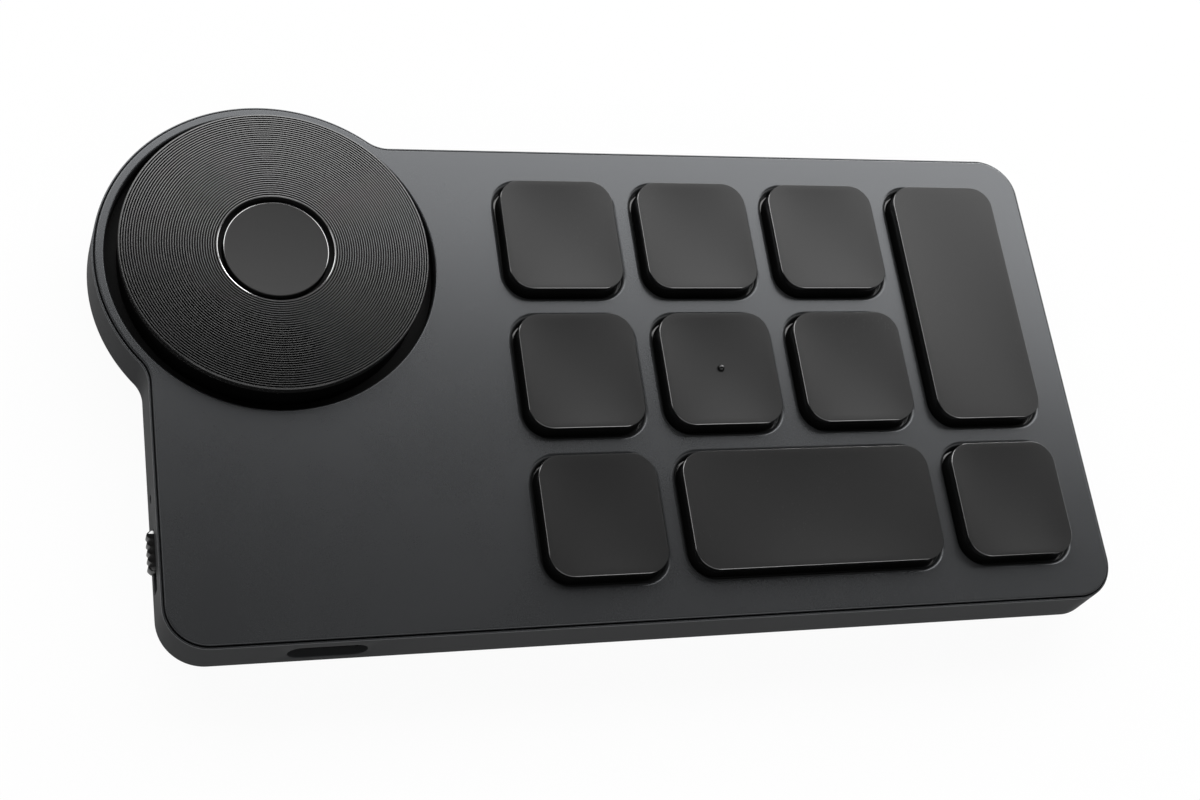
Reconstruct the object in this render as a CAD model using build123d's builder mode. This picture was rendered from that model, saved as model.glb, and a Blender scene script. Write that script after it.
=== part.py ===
"""Shortcut remote for a desk: ten keys, a grooved dial with a centre button, and a power slider."""

import os
from math import atan2, degrees, hypot

from build123d import *

os.makedirs("parts", exist_ok=True)

# Key block
key_width = 13.85
key_depth = 14.28
key_corner = 2.75
key_space_x = 3.09
key_space_y = 3.13
key_rise = 1.65
key_travel = 0.7
key_gap = 0.3
key_wall = 1.2
key_roof = 1.4
key_margin_right = 4.8
key_margin_front = 4.76
key_margin_back = 4.65
flange_reach = 0.6
flange_thickness = 0.7
flange_play = 0.1
stem_width = 4.0
stem_entry = 0.2
dot_radius = 0.45
dot_height = 0.28
dot_sides = 8
dot_taper = 20

# Dial, its well and the centre button
dial_radius = 17.1
dial_rise = 2.55
dial_edge = 0.25
lobe_out_left = 5.25
lobe_out_back = 5.05
face_thickness = 1.0
face_overhang = 0.1
groove_count = 8
groove_depth = 0.2
dial_hole_radius = 6.45
well_gap = 1.25
well_wall = 0.8
magnet_count = 8
magnet_width = 2.0
magnet_height = 1.2
magnet_inset = 2.2
collar_wall = 1.5
collar_ears = 4
collar_ear_reach = 0.9
collar_ear_width = 3.0
collar_ear_thickness = 0.6
button_radius = 5.8
button_drop = 0.2
button_edge = 0.25
button_travel = 0.6
button_ear_reach = 0.9
button_ear_width = 1.8
button_ear_height = 0.7
button_stem_width = 3.0

# Plate, side wall and rear cover
dial_side_width = 40.73
plate_thickness = 0.8
plate_corner = 4.5
lobe_land = 1.0
waist_radius = 4.3
plate_gap = 0.15
rim_lip = 0.2
rim_drop = 0.3
wall_spread = 0.62
wall_height = 5.6
seat_width = 1.7
lobe_play = 0.1
rear_depth = 2.4
belly_inset = 1.9
floor_thickness = 1.2
tray_wall = 2.4
port_wall = 0.9

# Board, frame and the posts that carry them
frame_thickness = 0.8
frame_margin = 1.5
board_thickness = 1.0
post_width = 3.6
post_neck_width = 2.4
dial_post_inset = 5.1
dial_post_count = 4

# Snap hooks and feet
hook_width = 6.0
hook_thickness = 1.0
hook_gap = 0.2
hook_catch = 0.5
hook_catch_height = 0.8
foot_width = 5.0
foot_length = 96.0
foot_proud = 0.8
foot_sink = 0.4
foot_inset = 7.1
foot_bevel = 1.5

# Switches, port, slider and the other parts on the board
switch_width = 6.0
plunger_width = 2.4
plunger_hold = 0.1
usb_inset = 16.7
usb_slot_width = 8.5
usb_slot_height = 2.9
usb_shell_width = 8.94
usb_shell_height = 3.2
usb_shell_wall = 0.3
usb_shell_bevel = 0.9
usb_length = 7.3
usb_block_length = 2.4
usb_tongue_width = 6.7
usb_tongue_thickness = 0.7
usb_tongue_recess = 0.8
slider_inset = 11.35
slider_length = 4.4
slider_height = 1.7
slider_proud = 0.6
slider_travel = 2.0
slider_ribs = 5
slider_rib_depth = 0.35
slider_flange_reach = 0.8
slider_flange_thickness = 0.8
lever_width = 1.4
lever_height = 0.8
lever_grip = 0.5
slide_switch_inset = 3.3
slide_switch_width = 2.8
slide_switch_length = 6.7
slide_switch_height = 2.4
lever_depth = 1.2
led_inset_y = 17.3
led_inset_x = 2.9
led_width = 1.6
led_length = 1.4
led_cover = 0.6
pinhole_radius = 0.45
pipe_width = 1.2
battery_inset_x = 8.6
battery_width = 24.0
battery_depth = 12.5
battery_thickness = 4.2
battery_bevel = 0.8
tape_thickness = 0.2
tape_border = 1.0
sensor_width = 2.9
sensor_depth = 1.6
sensor_height = 1.0
chip_size = 5.0
chip_height = 0.9
chip_offset = 7.5
radio_width = 9.0
radio_depth = 8.0
radio_height = 1.3
radio_offset_x = 17.5
radio_offset_y = 4.0

# Clearances
slide_play = 0.15
turn_play = 0.1
rest_play = 0.05
board_play = 0.3
match = 0.01

# Plan, with the origin under the middle of the whole remote
well_radius = dial_radius + well_gap
lobe_radius = well_radius + lobe_land
plate_width = dial_side_width + 4 * key_width + 3 * key_space_x + key_margin_right
plate_depth = key_margin_front + 3 * key_depth + 2 * key_space_y + key_margin_back
pitch_x = key_width + key_space_x
pitch_y = key_depth + key_space_y
dial_inset_left = lobe_radius - lobe_out_left
dial_inset_back = lobe_radius - lobe_out_back
plate_left = (lobe_out_left - plate_width) / 2
plate_right = plate_left + plate_width
plate_front = -(plate_depth + lobe_out_back) / 2
plate_back = plate_front + plate_depth
plate_x = (plate_left + plate_right) / 2
plate_y = (plate_front + plate_back) / 2
dial_x = plate_left + dial_inset_left
dial_y = plate_back - dial_inset_back
first_key_x = plate_left + dial_side_width + key_width / 2
first_key_y = plate_back - key_margin_back - key_depth / 2
lobe_bore = well_radius + lobe_play

# Heights, worked down from the top of the plate
parting_z = foot_proud + rear_depth
floor_z = foot_proud + floor_thickness
plate_top = parting_z + wall_height
plate_under = plate_top - plate_thickness
rim_top = plate_top - rim_drop
rim_reach = plate_gap + rim_lip
flange_top = plate_under - flange_play
flange_under = flange_top - flange_thickness
frame_top = flange_under - key_travel - turn_play
frame_under = frame_top - frame_thickness
plunger_top = frame_under + stem_entry
switch_top = plunger_top - key_travel - turn_play
switch_height = key_travel + plunger_hold + turn_play
board_top = switch_top - switch_height
board_under = board_top - board_thickness
hook_top = frame_under - hook_gap
key_top = plate_top + key_rise
dial_top = plate_top + dial_rise
wheel_top = dial_top - face_thickness
wheel_under = frame_top + rest_play
button_top = dial_top - button_drop
button_under = frame_top + button_travel + turn_play
ear_top = button_under + button_ear_height
collar_top = wheel_top - turn_play
usb_z = board_top + usb_shell_height / 2
side_z = board_top + slide_switch_height / 2

# Radii of the dial's bearing, worked outwards from the button
collar_bore = button_radius + slide_play
collar_radius = collar_bore + collar_wall
collar_ear_radius = collar_radius + collar_ear_reach
hub_bore = collar_radius + turn_play
hub_counterbore = hypot(collar_ear_radius, collar_ear_width / 2) + turn_play
wheel_radius = dial_radius - face_overhang
magnet_circle = wheel_radius - magnet_inset
dial_post_circle = dial_radius - dial_post_inset

# Faces inside the wall at the port and the slider, and the slider's place
port_y = plate_front - wall_spread + port_wall
port_x = plate_left - wall_spread + port_wall
usb_x = plate_left + usb_inset
slider_y = plate_front + slider_inset
slider_flange_length = slider_length + 2 * slider_flange_reach
slider_flange_height = slider_height + 2 * slider_flange_reach
slider_flange_x = port_x + rest_play
slide_switch_x = plate_left + slide_switch_inset
slide_switch_y = slider_y - slider_travel / 2
led_x = plate_left + led_inset_x
led_y = plate_front + led_inset_y
battery_x = plate_left + battery_inset_x + battery_width / 2
battery_y = port_y + usb_length + 2 * board_play + battery_depth / 2

# Places that repeat: column, row from the back, columns wide and rows tall of each key
key_grid = [
    (0, 0, 1, 1), (1, 0, 1, 1), (2, 0, 1, 1), (3, 0, 1, 2), (0, 1, 1, 1),
    (1, 1, 1, 1), (2, 1, 1, 1), (0, 2, 1, 1), (1, 2, 2, 1), (3, 2, 1, 1),
]
dot_key = 6
foot_rows = [(plate_x, plate_front + foot_inset), (plate_x, plate_back - foot_inset)]
post_places = [(first_key_x + (column + 0.5) * pitch_x, first_key_y - (row + 0.5) * pitch_y)
               for column in (0, 2) for row in (0, 1)]
post_columns = sorted({x for x, _ in post_places})
post_rows = sorted({y for _, y in post_places})
hook_spots = [Location((x, plate_front + seat_width, 0)) for x in post_columns]
hook_spots += [Location((x, plate_back - seat_width, 0), (0, 0, 180)) for x in post_columns]
hook_spots += [Location((plate_right - seat_width, y, 0), (0, 0, 90)) for y in post_rows]

# The vertical half-plane through the dial's axis, for turned pieces
dial_plane = Plane(origin=(dial_x, dial_y, 0), x_dir=(1, 0, 0), z_dir=(0, -1, 0))
dial_axis = Axis((dial_x, dial_y, 0), (0, 0, 1))


def key_size(columns, rows):
    """Width and depth of a key that covers some columns and rows."""
    return key_width + (columns - 1) * pitch_x, key_depth + (rows - 1) * pitch_y


def key_centre(column, row, columns, rows):
    """Middle of a key on the plan."""
    x = first_key_x + (column + (columns - 1) / 2) * pitch_x
    y = first_key_y - (row + (rows - 1) / 2) * pitch_y
    return x, y


def key_stems(columns, rows):
    """Places of a key's stems from its middle: one on the switch, and one at each end of a long key."""
    reach_x = (columns - 1) * pitch_x / 2
    reach_y = (rows - 1) * pitch_y / 2
    return [(0, 0)] if columns == rows else [(0, 0), (reach_x, reach_y), (-reach_x, -reach_y)]


def remote_outline(height, grow):
    """Plan outline of the remote at a height, grown outwards from the plate's edge."""
    with BuildSketch(Plane.XY.offset(height)) as outline:
        with Locations((plate_x, plate_y)):
            RectangleRounded(plate_width + 2 * grow, plate_depth + 2 * grow, plate_corner + grow)
        with Locations((dial_x, dial_y)):
            Circle(lobe_radius + grow)
        waists = outline.vertices().filter_by(
            lambda v: abs(hypot(v.X - dial_x, v.Y - dial_y) - lobe_radius - grow) < match
        )
        fillet(waists, waist_radius - grow)
    return outline.sketch


def cavity_outline(height, shrink):
    """Plan outline of the hollow inside the case at a height, shrunk for what lies in it."""
    inset = seat_width + shrink
    with BuildSketch(Plane.XY.offset(height)) as outline:
        with Locations((plate_x, plate_y)):
            Rectangle(plate_width - 2 * inset, plate_depth - 2 * inset)
        with Locations((dial_x, dial_y)):
            Circle(lobe_bore - shrink)
    return outline.sketch


def hook_outline(height, start, depth, width):
    """Plan rectangles at every snap hook, from a distance inside the wall's inner face."""
    with BuildSketch(Plane.XY.offset(height)) as hooks:
        with Locations(*hook_spots):
            with Locations((0, start)):
                Rectangle(width, depth, align=(Align.CENTER, Align.MIN))
    return hooks.sketch


def write_piece(piece, name):
    """Label a finished piece and write its file."""
    piece.label = name
    export_step(piece, f"parts/{name}.step")


# Upper case: the flared side wall with the plate's seat, hook recesses and side openings
with BuildPart() as upper_case:
    extrude(
        remote_outline(parting_z, wall_spread),
        amount=rim_top - parting_z,
        taper=degrees(atan2(wall_spread - rim_reach, rim_top - parting_z)),
    )
    extrude(remote_outline(plate_under, plate_gap), amount=plate_thickness, mode=Mode.SUBTRACT)
    extrude(cavity_outline(parting_z, 0), amount=plate_under - parting_z, mode=Mode.SUBTRACT)
    recess_z = hook_top - hook_catch_height - slide_play
    recess_depth = hook_catch + slide_play
    extrude(
        hook_outline(recess_z, -recess_depth, recess_depth + slide_play, hook_width + 2 * slide_play),
        amount=hook_catch_height + 2 * slide_play,
        mode=Mode.SUBTRACT,
    )
    with BuildSketch(Plane.XZ.offset(-plate_front - seat_width)):
        with Locations((usb_x, usb_z)):
            Rectangle(usb_shell_width + 2 * slide_play, usb_shell_height + 2 * slide_play)
    extrude(amount=plate_front + seat_width - port_y, mode=Mode.SUBTRACT)
    with BuildSketch(Plane.XZ.offset(-port_y)):
        with Locations((usb_x, usb_z)):
            SlotOverall(usb_slot_width, usb_slot_height)
    extrude(amount=port_wall, mode=Mode.SUBTRACT)
    with BuildSketch(Plane.YZ.offset(port_x)):
        with Locations((slider_y - slider_travel / 2, side_z)):
            Rectangle(
                slider_flange_length + slider_travel + 2 * slide_play, slider_flange_height + 2 * slide_play
            )
    extrude(amount=plate_left + seat_width - port_x, mode=Mode.SUBTRACT)
    with BuildSketch(Plane.YZ.offset(port_x)):
        with Locations((slider_y - slider_travel / 2, side_z)):
            Rectangle(slider_length + slider_travel + 2 * slide_play, slider_height + 2 * slide_play)
    extrude(amount=-port_wall, mode=Mode.SUBTRACT)
    with BuildSketch(Plane.YZ.offset(plate_left + seat_width)):
        with Locations((led_y, side_z)):
            Rectangle(pipe_width + 2 * rest_play, pipe_width + 2 * rest_play)
    extrude(amount=port_x - plate_left - seat_width, mode=Mode.SUBTRACT)
    with BuildSketch(Plane.YZ.offset(port_x)):
        with Locations((led_y, side_z)):
            Circle(pinhole_radius)
    extrude(amount=-port_wall, mode=Mode.SUBTRACT)
write_piece(upper_case.part, "upper_case")

# Rear cover: a shallow tray with sloping sides, snap hooks, stepped posts and foot recesses
with BuildPart() as rear_cover:
    extrude(
        remote_outline(parting_z, wall_spread),
        amount=-rear_depth,
        taper=degrees(atan2(belly_inset, rear_depth)),
    )
    with BuildSketch(Plane.XY.offset(floor_z)):
        with Locations((plate_x, plate_y)):
            Rectangle(plate_width - 2 * tray_wall, plate_depth - 2 * tray_wall)
    extrude(amount=rear_depth - floor_thickness, mode=Mode.SUBTRACT)
    with BuildSketch(Plane.XY.offset(foot_proud)):
        with Locations(*foot_rows):
            Rectangle(foot_length + 2 * rest_play, foot_width + 2 * rest_play)
    extrude(amount=foot_sink, mode=Mode.SUBTRACT)
    extrude(hook_outline(floor_z, slide_play, hook_thickness, hook_width), amount=hook_top - floor_z)
    extrude(
        hook_outline(hook_top, -hook_catch, hook_catch + hook_thickness, hook_width),
        amount=-hook_catch_height,
    )
    for width, start, end in (
        (post_width, floor_z, board_under),
        (post_neck_width, board_under, frame_under),
    ):
        with BuildSketch(Plane.XY.offset(start)):
            with Locations(*post_places):
                Rectangle(width, width)
            with Locations((dial_x, dial_y)):
                with PolarLocations(dial_post_circle, dial_post_count, start_angle=45):
                    Rectangle(width, width)
        extrude(amount=end - start)
write_piece(rear_cover.part, "rear_cover")

# Top plate: key openings and the dial's opening
with BuildPart() as top_plate:
    extrude(remote_outline(plate_under, 0), amount=plate_thickness)
    with BuildSketch(Plane.XY.offset(plate_under)):
        for place in key_grid:
            width, depth = key_size(*place[2:])
            with Locations(key_centre(*place)):
                RectangleRounded(width + 2 * key_gap, depth + 2 * key_gap, key_corner + key_gap)
    extrude(amount=plate_thickness, mode=Mode.SUBTRACT)
    with Locations((dial_x, dial_y, plate_under)):
        Cylinder(
            well_radius, plate_thickness,
            align=(Align.CENTER, Align.CENTER, Align.MIN), mode=Mode.SUBTRACT,
        )
write_piece(top_plate.part, "top_plate")

# Inner frame: guide plate for the keys in one piece with the dial's well and collar
with BuildPart() as inner_frame:
    frame_left = plate_left + dial_side_width - flange_reach - frame_margin
    extrude(cavity_outline(frame_under, board_play), amount=frame_thickness)
    with BuildSketch(Plane.XY.offset(frame_under)):
        with Locations((frame_left, dial_y)):
            Rectangle(plate_width, plate_depth, align=(Align.MAX, Align.MAX))
        with Locations((dial_x, dial_y)):
            Circle(well_radius + well_wall, mode=Mode.SUBTRACT)
    extrude(amount=frame_thickness, mode=Mode.SUBTRACT)
    with BuildSketch(Plane.XY.offset(frame_top)):
        with Locations((dial_x, dial_y)):
            Circle(well_radius + well_wall)
            Circle(well_radius, mode=Mode.SUBTRACT)
        add(cavity_outline(frame_top, board_play), mode=Mode.INTERSECT)
    extrude(amount=plate_under - rest_play - frame_top)
    with BuildSketch(Plane.XY.offset(frame_top)):
        with Locations((dial_x, dial_y)):
            Circle(collar_radius)
    extrude(amount=collar_top - frame_top)
    with BuildSketch(Plane.XY.offset(collar_top)):
        with Locations((dial_x, dial_y)):
            with PolarLocations(0, collar_ears, start_angle=45):
                Rectangle(collar_ear_radius, collar_ear_width, align=(Align.MIN, Align.CENTER))
    extrude(amount=-collar_ear_thickness)
    with BuildSketch(Plane.XY.offset(frame_top)):
        with Locations((dial_x, dial_y)):
            Circle(collar_bore)
    extrude(amount=collar_top - frame_top, mode=Mode.SUBTRACT)
    with BuildSketch(Plane.XY.offset(frame_top)):
        with Locations((dial_x, dial_y)):
            Rectangle(2 * (button_radius + button_ear_reach + slide_play), button_ear_width + 2 * slide_play)
    extrude(amount=ear_top + rest_play - frame_top, mode=Mode.SUBTRACT)
    with BuildSketch(Plane.XY.offset(frame_under)):
        for place in key_grid:
            x, y = key_centre(*place)
            with Locations(*[(x + dx, y + dy) for dx, dy in key_stems(*place[2:])]):
                Rectangle(stem_width + 2 * slide_play, stem_width + 2 * slide_play)
        with Locations((dial_x, dial_y)):
            Rectangle(button_stem_width + 2 * slide_play, button_stem_width + 2 * slide_play)
    extrude(amount=frame_thickness, mode=Mode.SUBTRACT)
write_piece(inner_frame.part, "inner_frame")

# Main board, with notches for the hooks, holes for the posts and a window for the battery
with BuildPart() as main_board:
    with BuildSketch(Plane.XY.offset(board_under)):
        with Locations((plate_x, plate_y)):
            Rectangle(plate_width - 2 * (tray_wall + board_play), plate_depth - 2 * (tray_wall + board_play))
    extrude(amount=board_thickness)
    extrude(
        hook_outline(board_under, 0, hook_thickness + slide_play + board_play, hook_width + 2 * board_play),
        amount=board_thickness,
        mode=Mode.SUBTRACT,
    )
    with BuildSketch(Plane.XY.offset(board_under)):
        with Locations((battery_x, battery_y)):
            Rectangle(battery_width + 2 * board_play, battery_depth + 2 * board_play)
        with Locations(*post_places):
            Rectangle(post_neck_width + 2 * slide_play, post_neck_width + 2 * slide_play)
        with Locations((dial_x, dial_y)):
            with PolarLocations(dial_post_circle, dial_post_count, start_angle=45):
                Rectangle(post_neck_width + 2 * slide_play, post_neck_width + 2 * slide_play)
    extrude(amount=board_thickness, mode=Mode.SUBTRACT)
write_piece(main_board.part, "main_board")


def switch_bodies(places):
    """Switch bodies on the board, each with a square hole for its plunger."""
    with BuildPart() as bodies:
        with BuildSketch(Plane.XY.offset(board_top)):
            with Locations(*places):
                Rectangle(switch_width, switch_width)
        extrude(amount=switch_height)
        with BuildSketch(Plane.XY.offset(switch_top)):
            with Locations(*places):
                Rectangle(plunger_width + 2 * slide_play, plunger_width + 2 * slide_play)
        extrude(amount=-switch_height, mode=Mode.SUBTRACT)
    return bodies.part


def switch_plunger(place):
    """Moving stem of a switch, from inside its body up to the key above it."""
    with BuildPart() as plunger:
        with BuildSketch(Plane.XY.offset(switch_top - plunger_hold)):
            with Locations(place):
                Rectangle(plunger_width, plunger_width)
        extrude(amount=plunger_top - switch_top + plunger_hold)
    return plunger.part


write_piece(switch_bodies([key_centre(*place) for place in key_grid]), "key_switches")
write_piece(switch_bodies([(dial_x, dial_y)]), "button_switch")
write_piece(switch_plunger((dial_x, dial_y)), "button_plunger")

# Keys: rounded caps with a retaining flange and square stems that run in the frame
for number, place in enumerate(key_grid, start=1):
    x, y = key_centre(*place)
    width, depth = key_size(*place[2:])
    with BuildPart() as key:
        with BuildSketch(Plane.XY.offset(flange_under)):
            with Locations((x, y)):
                RectangleRounded(width, depth, key_corner)
        extrude(amount=key_top - flange_under)
        with BuildSketch(Plane.XY.offset(flange_under)):
            with Locations((x, y)):
                Rectangle(width + 2 * flange_reach, depth + 2 * flange_reach)
        extrude(amount=flange_thickness)
        with BuildSketch(Plane.XY.offset(flange_under)):
            with Locations((x, y)):
                Rectangle(width - 2 * key_wall, depth - 2 * key_wall)
        extrude(amount=key_top - key_roof - flange_under, mode=Mode.SUBTRACT)
        with BuildSketch(Plane.XY.offset(plunger_top)):
            with Locations(*[(x + dx, y + dy) for dx, dy in key_stems(*place[2:])]):
                Rectangle(stem_width, stem_width)
        extrude(amount=key_top - key_roof - plunger_top)
        if number == dot_key:
            with BuildSketch(Plane.XY.offset(key_top)):
                with Locations((x, y)):
                    RegularPolygon(dot_radius, dot_sides)
            extrude(amount=dot_height, taper=dot_taper)
    write_piece(key.part, f"key_{number}")
    write_piece(switch_plunger((x, y)), f"key_{number}_plunger")

# Dial face: a turned disc whose top is cut into fine rings
with BuildPart() as dial_face:
    groove_pitch = (dial_radius - dial_edge - dial_hole_radius) / groove_count
    crest_radii = [dial_hole_radius + ring * groove_pitch for ring in range(groove_count + 1)]
    profile = [(dial_hole_radius, wheel_top), (dial_hole_radius, dial_top)]
    for crest in crest_radii[1:]:
        profile.append((crest - groove_pitch / 2, dial_top - groove_depth))
        profile.append((crest, dial_top))
    profile.append((dial_radius, dial_top - dial_edge))
    profile.append((dial_radius, wheel_top))
    with BuildSketch(dial_plane):
        with BuildLine():
            Polyline(*profile, close=True)
        make_face()
    revolve(axis=dial_axis)
write_piece(dial_face.part, "dial_face")

# Dial wheel: a ring with pockets for the magnets and a counterbore for the collar's ears
with BuildPart() as dial_wheel:
    counter_z = collar_top - collar_ear_thickness - turn_play
    with BuildSketch(dial_plane):
        with BuildLine():
            Polyline(
                (hub_bore, wheel_under), (hub_bore, counter_z), (hub_counterbore, counter_z),
                (hub_counterbore, wheel_top), (wheel_radius, wheel_top), (wheel_radius, wheel_under),
                close=True,
            )
        make_face()
    revolve(axis=dial_axis)
    with BuildSketch(Plane.XY.offset(wheel_under)):
        with Locations((dial_x, dial_y)):
            with PolarLocations(magnet_circle, magnet_count):
                Rectangle(magnet_width + 2 * rest_play, magnet_width + 2 * rest_play)
    extrude(amount=magnet_height, mode=Mode.SUBTRACT)
write_piece(dial_wheel.part, "dial_wheel")

# Encoder magnets, glued into the wheel's pockets
with BuildPart() as encoder_magnets:
    with BuildSketch(Plane.XY.offset(wheel_under)):
        with Locations((dial_x, dial_y)):
            with PolarLocations(magnet_circle, magnet_count):
                Rectangle(magnet_width, magnet_width)
    extrude(amount=magnet_height)
write_piece(encoder_magnets.part, "encoder_magnets")

# Centre button: a round cap with two ears that keep it in the collar, and a stem
with BuildPart() as centre_button:
    with Locations((dial_x, dial_y, button_under)):
        Cylinder(button_radius, button_top - button_under, align=(Align.CENTER, Align.CENTER, Align.MIN))
    chamfer(centre_button.faces().sort_by(Axis.Z)[-1].edges(), button_edge)
    with BuildSketch(Plane.XY.offset(button_under)):
        with Locations((dial_x, dial_y)):
            Rectangle(2 * (button_radius + button_ear_reach), button_ear_width)
    extrude(amount=button_ear_height)
    with BuildSketch(Plane.XY.offset(plunger_top)):
        with Locations((dial_x, dial_y)):
            Rectangle(button_stem_width, button_stem_width)
    extrude(amount=button_under - plunger_top)
write_piece(centre_button.part, "centre_button")

# Hall sensor below the magnets, controller and radio on the board
for name, size, centre in (
    ("hall_sensor", (sensor_width, sensor_depth, sensor_height),
     (dial_x, dial_y - magnet_circle)),
    ("controller_chip", (chip_size, chip_size, chip_height), (dial_x, dial_y - chip_offset)),
    ("radio_module", (radio_width, radio_depth, radio_height),
     (dial_x + radio_offset_x, dial_y + radio_offset_y)),
):
    with BuildPart() as board_part:
        with Locations((*centre, board_top)):
            Box(*size, align=(Align.CENTER, Align.CENTER, Align.MIN))
    write_piece(board_part.part, name)

# Battery pouch on its tape
with BuildPart() as battery_tape:
    with BuildSketch(Plane.XY.offset(floor_z)):
        with Locations((battery_x, battery_y)):
            Rectangle(battery_width - 2 * tape_border, battery_depth - 2 * tape_border)
    extrude(amount=tape_thickness)
write_piece(battery_tape.part, "battery_tape")

with BuildPart() as battery:
    with BuildSketch(Plane.XY.offset(floor_z + tape_thickness)):
        with Locations((battery_x, battery_y)):
            Rectangle(battery_width, battery_depth)
    extrude(amount=battery_thickness)
    chamfer(battery.edges().filter_by(Axis.Z), battery_bevel)
write_piece(battery.part, "battery")

# Receptacle: a drawn shell with a tongue on a block that closes its back
mouth_y = port_y + rest_play
with BuildPart() as usb_shell:
    with BuildSketch(Plane.XZ.offset(-mouth_y)) as shell_section:
        with Locations((usb_x, usb_z)):
            Rectangle(usb_shell_width, usb_shell_height)
        chamfer(shell_section.vertices(), usb_shell_bevel)
        offset(amount=-usb_shell_wall, kind=Kind.INTERSECTION, mode=Mode.SUBTRACT)
    extrude(amount=-usb_length)
write_piece(usb_shell.part, "usb_shell")

with BuildPart() as usb_tongue:
    with BuildSketch(Plane.XZ.offset(-mouth_y - usb_length)):
        with Locations((usb_x, usb_z)):
            Rectangle(usb_tongue_width, usb_shell_height - 2 * usb_shell_wall - 2 * rest_play)
    extrude(amount=usb_block_length)
    with BuildSketch(Plane.XZ.offset(-mouth_y - usb_length)):
        with Locations((usb_x, usb_z)):
            Rectangle(usb_tongue_width, usb_tongue_thickness)
    extrude(amount=usb_length - usb_tongue_recess)
write_piece(usb_tongue.part, "usb_tongue")

# Power slider: a ribbed thumb piece on a flange that runs inside the wall
with BuildPart() as power_slider:
    grip_x = plate_left - wall_spread - slider_proud
    rib_pitch = slider_length / slider_ribs
    slider_back = slider_y + slider_length / 2
    ribs = [(slider_flange_x + slider_flange_thickness, slider_back)]
    for rib in range(slider_ribs):
        ribs.append((grip_x + slider_rib_depth, slider_back - rib * rib_pitch))
        ribs.append((grip_x, slider_back - (rib + 0.5) * rib_pitch))
    ribs.append((grip_x + slider_rib_depth, slider_back - slider_length))
    ribs.append((slider_flange_x + slider_flange_thickness, slider_back - slider_length))
    with BuildSketch(Plane.XY.offset(side_z - slider_height / 2)):
        with BuildLine():
            Polyline(*ribs, close=True)
        make_face()
    extrude(amount=slider_height)
    with BuildSketch(Plane.YZ.offset(slider_flange_x)):
        with Locations((slider_y, side_z)):
            Rectangle(slider_flange_length, slider_flange_height)
    extrude(amount=slider_flange_thickness)
    with BuildSketch(Plane.YZ.offset(slider_flange_x + slider_flange_thickness)):
        with Locations((slider_y, side_z)):
            Rectangle(lever_width, lever_height)
    extrude(amount=-lever_grip, mode=Mode.SUBTRACT)
write_piece(power_slider.part, "power_slider")

lever_start = slider_flange_x + slider_flange_thickness - lever_grip
with BuildPart() as switch_lever:
    with BuildSketch(Plane.YZ.offset(lever_start)):
        with Locations((slider_y, side_z)):
            Rectangle(lever_width, lever_height)
    extrude(amount=slide_switch_x + lever_depth - lever_start)
write_piece(switch_lever.part, "switch_lever")

with BuildPart() as slide_switch:
    with BuildSketch(Plane.YZ.offset(slide_switch_x)):
        with Locations((slide_switch_y, side_z)):
            Rectangle(slide_switch_length, slide_switch_height)
    extrude(amount=slide_switch_width)
    with BuildSketch(Plane.YZ.offset(slide_switch_x)):
        with Locations((slide_switch_y, side_z)):
            Rectangle(lever_width + slider_travel + 2 * slide_play, lever_height + 2 * slide_play)
    extrude(amount=lever_depth + slide_play, mode=Mode.SUBTRACT)
write_piece(slide_switch.part, "slide_switch")

# Status light behind its pipe
with BuildPart() as status_led:
    with Locations((led_x, led_y, board_top)):
        Box(
            led_length, led_width, side_z - board_top + led_cover,
            align=(Align.MIN, Align.CENTER, Align.MIN),
        )
write_piece(status_led.part, "status_led")

with BuildPart() as light_pipe:
    with BuildSketch(Plane.YZ.offset(led_x)):
        with Locations((led_y, side_z)):
            Rectangle(pipe_width, pipe_width)
    extrude(amount=port_x + rest_play - led_x)
write_piece(light_pipe.part, "light_pipe")

# Rubber feet: two strips in their recesses
with BuildPart() as rubber_feet:
    with BuildSketch():
        with Locations(*foot_rows):
            Rectangle(foot_length, foot_width)
    extrude(amount=foot_proud + foot_sink)
    chamfer(rubber_feet.edges().filter_by(Axis.Z), foot_bevel)
write_piece(rubber_feet.part, "rubber_feet")
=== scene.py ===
import bmesh
import bpy
import numpy as np
from mathutils import Matrix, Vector
from mathutils.geometry import delaunay_2d_cdt


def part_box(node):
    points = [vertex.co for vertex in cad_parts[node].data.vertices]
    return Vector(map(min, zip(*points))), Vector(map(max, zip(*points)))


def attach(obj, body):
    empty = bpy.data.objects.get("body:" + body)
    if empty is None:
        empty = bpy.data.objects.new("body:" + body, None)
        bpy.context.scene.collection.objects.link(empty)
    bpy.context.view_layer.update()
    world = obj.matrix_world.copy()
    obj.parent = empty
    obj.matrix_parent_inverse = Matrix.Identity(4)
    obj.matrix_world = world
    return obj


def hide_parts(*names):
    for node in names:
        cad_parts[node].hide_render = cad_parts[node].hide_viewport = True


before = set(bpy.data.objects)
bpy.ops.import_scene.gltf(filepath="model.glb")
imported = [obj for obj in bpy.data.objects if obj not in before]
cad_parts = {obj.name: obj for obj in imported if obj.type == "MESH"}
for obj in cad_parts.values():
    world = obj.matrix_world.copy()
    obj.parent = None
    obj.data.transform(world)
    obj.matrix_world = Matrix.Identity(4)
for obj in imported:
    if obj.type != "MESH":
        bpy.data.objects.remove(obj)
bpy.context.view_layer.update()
mm = 0.001
tiny = 1e-6                                         # slack for rounding
weld = 1e-7                                         # points closer than this, in metres, become one
main, second, third = range(3)                      # places in a piece's list of finishes


def nodeBox(node):                                  # lowest and highest corner of a CAD node, in mm
    low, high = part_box(node)
    return np.array(low) / mm, np.array(high) / mm


# Outlines: each is a pair of arrays, points and outward normals, anticlockwise from above

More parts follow.
